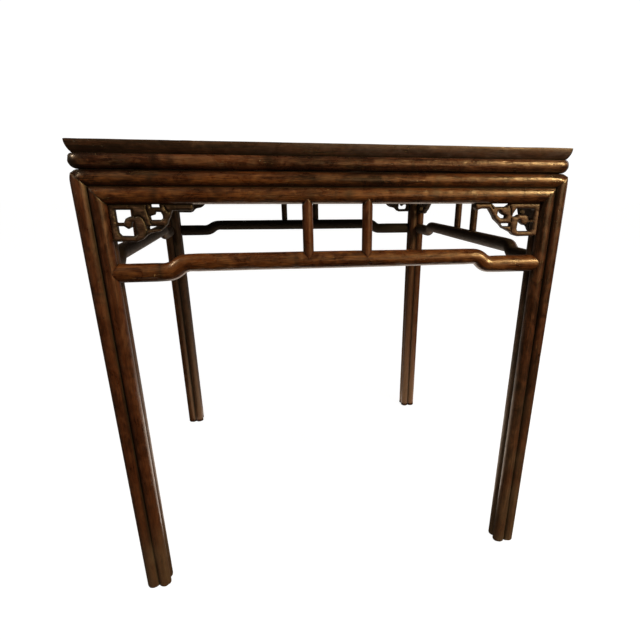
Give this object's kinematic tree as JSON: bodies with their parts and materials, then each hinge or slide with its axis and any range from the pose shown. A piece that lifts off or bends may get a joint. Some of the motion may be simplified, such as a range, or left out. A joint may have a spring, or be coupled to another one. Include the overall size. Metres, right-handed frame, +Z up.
{
  "type": "eight immortals table",
  "caption": "Square high table on four-lobed reeded legs, with double-reeded aprons, a round bead under the top, humpback stretchers, short struts and openwork scroll spandrels.",
  "frame": {"origin": "centre of the table's footprint, on the floor", "axes": "+Z up, -Y towards the side called front, +X to that side's right"},
  "size_m": [0.84, 0.84, 0.86],
  "materials": {
    "lacquered_frame": "worn glossy red-brown lacquer over hardwood, dark in the grooves",
    "lacquered_panel": "worn satin red-brown lacquer over wide boards",
    "carved_spandrel": "dark brown lacquered carving with rubbed edges",
    "plain_underside": "plain oiled wood, hidden from view"
  },
  "bodies": {
    "root": {"back_apron": "lacquered_frame", "back_bead_strip": "lacquered_frame", "back_left_leg": "lacquered_frame", "back_left_spandrel": "carved_spandrel", "back_left_strut": "lacquered_frame", "back_right_leg": "lacquered_frame", "back_right_spandrel": "carved_spandrel", "back_right_strut": "lacquered_frame", "back_stretcher": "lacquered_frame", "back_top_rail": "lacquered_frame", "bead_strip_dowels": "plain_underside", "front_apron": "lacquered_frame", "front_bead_strip": "lacquered_frame", "front_left_leg": "lacquered_frame", "front_left_spandrel": "carved_spandrel", "front_left_strut": "lacquered_frame", "front_right_leg": "lacquered_frame", "front_right_spandrel": "carved_spandrel", "front_right_strut": "lacquered_frame", "front_stretcher": "lacquered_frame", "front_top_rail": "lacquered_frame", "left_apron": "lacquered_frame", "left_batten": "plain_underside", "left_bead_strip": "lacquered_frame", "left_left_spandrel": "carved_spandrel", "left_left_strut": "lacquered_frame", "left_right_spandrel": "carved_spandrel", "left_right_strut": "lacquered_frame", "left_stretcher": "lacquered_frame", "left_top_rail": "lacquered_frame", "right_apron": "lacquered_frame", "right_batten": "plain_underside", "right_bead_strip": "lacquered_frame", "right_left_spandrel": "carved_spandrel", "right_left_strut": "lacquered_frame", "right_right_spandrel": "carved_spandrel", "right_right_strut": "lacquered_frame", "right_stretcher": "lacquered_frame", "right_top_rail": "lacquered_frame", "spandrel_pegs": "plain_underside", "top_board_back": "lacquered_panel", "top_board_front": "lacquered_panel", "top_board_middle": "lacquered_panel"}
  },
  "joints": []
}
